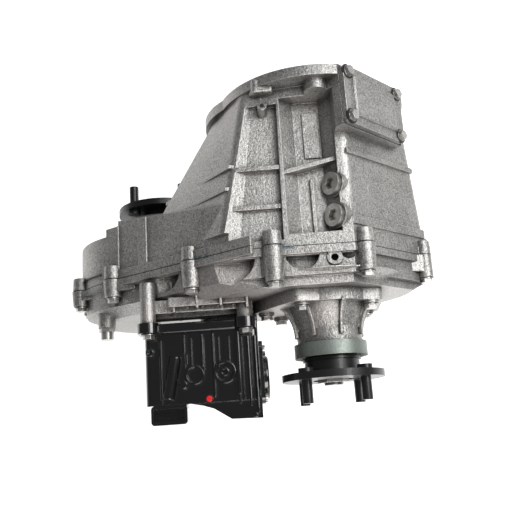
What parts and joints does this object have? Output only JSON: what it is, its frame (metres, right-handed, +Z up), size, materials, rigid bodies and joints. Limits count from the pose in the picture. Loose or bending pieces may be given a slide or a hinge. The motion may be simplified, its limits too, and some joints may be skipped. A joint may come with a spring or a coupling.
{
  "type": "transfer case",
  "caption": "Full-time four-wheel-drive transfer case: ribbed cast housing, chain to an offset front output, rear output flange and electric shift actuator.",
  "frame": {"origin": "main shaft axis in the plane of the front mounting face", "axes": "+X forward out of the mounting face along the main shaft, +Y to the vehicle's left, +Z up"},
  "size_m": [0.379, 0.4586, 0.3636],
  "materials": {
    "black_plastic": "moulded black",
    "black_steel": "satin black",
    "cast_aluminium": "cast, grainy, machined on the faces",
    "gasket_fibre": "matt",
    "gear_steel": "ground steel",
    "phosphate_steel": "grey green phosphate",
    "seal_rubber": "matt",
    "zinc_steel": "zinc plated"
  },
  "bodies": {
    "case": {"actuator_bolts": "zinc_steel", "actuator_connector": "black_plastic", "actuator_cover": "black_plastic", "actuator_housing": "black_plastic", "actuator_motor": "gear_steel", "actuator_screws": "zinc_steel", "bearing_outer_rings": "gear_steel", "bearing_rollers": "gear_steel", "breather": "zinc_steel", "case_bolts": "zinc_steel", "cover_bolts": "zinc_steel", "cover_gasket": "gasket_fibre", "cover_plate": "cast_aluminium", "detent_plugs": "zinc_steel", "drain_plug": "zinc_steel", "drive_chain": "gear_steel", "dust_ring": "phosphate_steel", "extension_bolts": "zinc_steel", "extension_housing": "cast_aluminium", "front_case": "cast_aluminium", "front_oil_seal": "seal_rubber", "input_oil_seal": "seal_rubber", "oil_strainer": "gear_steel", "position_switch": "zinc_steel", "rear_case": "cast_aluminium", "rear_oil_seal": "seal_rubber", "ring_gear": "gear_steel"},
    "input": {"input_shaft": "gear_steel", "input_inner_ring": "gear_steel"},
    "carrier": {"planet_carrier": "gear_steel", "planet_pins": "gear_steel"},
    "planet_1": {"planet_gear_1": "gear_steel"},
    "planet_2": {"planet_gear_2": "gear_steel"},
    "planet_3": {"planet_gear_3": "gear_steel"},
    "planet_4": {"planet_gear_4": "gear_steel"},
    "rear_output": {"rear_output_shaft": "gear_steel", "rear_inner_ring": "gear_steel", "rear_flange": "black_steel", "rear_flange_studs": "black_steel", "rear_flange_nut": "zinc_steel", "tone_wheel": "gear_steel", "centre_differential": "gear_steel", "drive_sprocket": "gear_steel"},
    "front_output": {"front_output_shaft": "gear_steel", "front_inner_ring_fore": "gear_steel", "front_inner_ring_aft": "gear_steel", "driven_sprocket": "gear_steel", "front_flange": "black_steel", "front_flange_studs": "black_steel", "front_flange_nut": "zinc_steel"},
    "range_sleeve": {"range_sleeve": "gear_steel"},
    "lock_sleeve": {"lock_sleeve": "gear_steel"},
    "range_shift": {"range_rail": "gear_steel", "range_fork": "gear_steel"},
    "lock_shift": {"lock_rail": "gear_steel", "lock_fork": "gear_steel"},
    "range_pinion": {"range_pinion": "gear_steel"},
    "lock_pinion": {"lock_pinion": "gear_steel"}
  },
  "joints": [
    {"name": "input_spin", "type": "hinge", "parent": "case", "child": "input", "pos_m": [-0.02, 0, 0], "axis": [1, 0, 0], "continuous": true},
    {"name": "carrier_spin", "type": "hinge", "parent": "case", "child": "carrier", "pos_m": [-0.056, 0, 0], "axis": [1, 0, 0], "continuous": true},
    {"name": "planet_1_spin", "type": "hinge", "parent": "carrier", "child": "planet_1", "pos_m": [-0.056, 0.0405, 0], "axis": [1, 0, 0], "continuous": true},
    {"name": "planet_2_spin", "type": "hinge", "parent": "carrier", "child": "planet_2", "pos_m": [-0.056, 0, 0.0405], "axis": [1, 0, 0], "continuous": true},
    {"name": "planet_3_spin", "type": "hinge", "parent": "carrier", "child": "planet_3", "pos_m": [-0.056, -0.0405, 0], "axis": [1, 0, 0], "continuous": true},
    {"name": "planet_4_spin", "type": "hinge", "parent": "carrier", "child": "planet_4", "pos_m": [-0.056, 0, -0.0405], "axis": [1, 0, 0], "continuous": true},
    {"name": "rear_output_spin", "type": "hinge", "parent": "case", "child": "rear_output", "pos_m": [-0.24, 0, 0], "axis": [1, 0, 0], "continuous": true, "deforming": ["drive_chain"]},
    {"name": "front_output_spin", "type": "hinge", "parent": "case", "child": "front_output", "pos_m": [-0.18, 0.20897, -0.12065], "axis": [1, 0, 0], "continuous": true},
    {"name": "range_sleeve_slide", "type": "slide", "parent": "rear_output", "child": "range_sleeve", "axis": [1, 0, 0], "range_m": [-0.01, 0]},
    {"name": "lock_sleeve_slide", "type": "slide", "parent": "rear_output", "child": "lock_sleeve", "axis": [1, 0, 0], "range_m": [-0.01, 0]},
    {"name": "range_rail_slide", "type": "slide", "parent": "case", "child": "range_shift", "axis": [1, 0, 0], "range_m": [-0.01, 0]},
    {"name": "lock_rail_slide", "type": "slide", "parent": "case", "child": "lock_shift", "axis": [1, 0, 0], "range_m": [-0.01, 0]},
    {"name": "range_pinion_turn", "type": "hinge", "parent": "case", "child": "range_pinion", "pos_m": [-0.318, 0.104, -0.0405], "axis": [0, 1, 0], "range_deg": [-48, 0]},
    {"name": "lock_pinion_turn", "type": "hinge", "parent": "case", "child": "lock_pinion", "pos_m": [-0.318, 0.132, -0.0565], "axis": [0, 1, 0], "range_deg": [-48, 0]}
  ],
  "couplings": [
    {"joint": "carrier_spin", "follows": "input_spin", "ratio": 0.38889},
    {"joint": "planet_1_spin", "follows": "input_spin", "ratio": -2.1389},
    {"joint": "planet_2_spin", "follows": "input_spin", "ratio": -2.1389},
    {"joint": "planet_3_spin", "follows": "input_spin", "ratio": -2.1389},
    {"joint": "planet_4_spin", "follows": "input_spin", "ratio": -2.1389},
    {"joint": "rear_output_spin", "follows": "input_spin", "ratio": 1},
    {"joint": "front_output_spin", "follows": "input_spin", "ratio": 1},
    {"joint": "range_sleeve_slide", "follows": "range_rail_slide", "ratio": 1},
    {"joint": "range_pinion_turn", "follows": "range_rail_slide", "rad_per_m": 83.333},
    {"joint": "lock_sleeve_slide", "follows": "lock_rail_slide", "ratio": 1},
    {"joint": "lock_pinion_turn", "follows": "lock_rail_slide", "rad_per_m": 83.333}
  ]
}
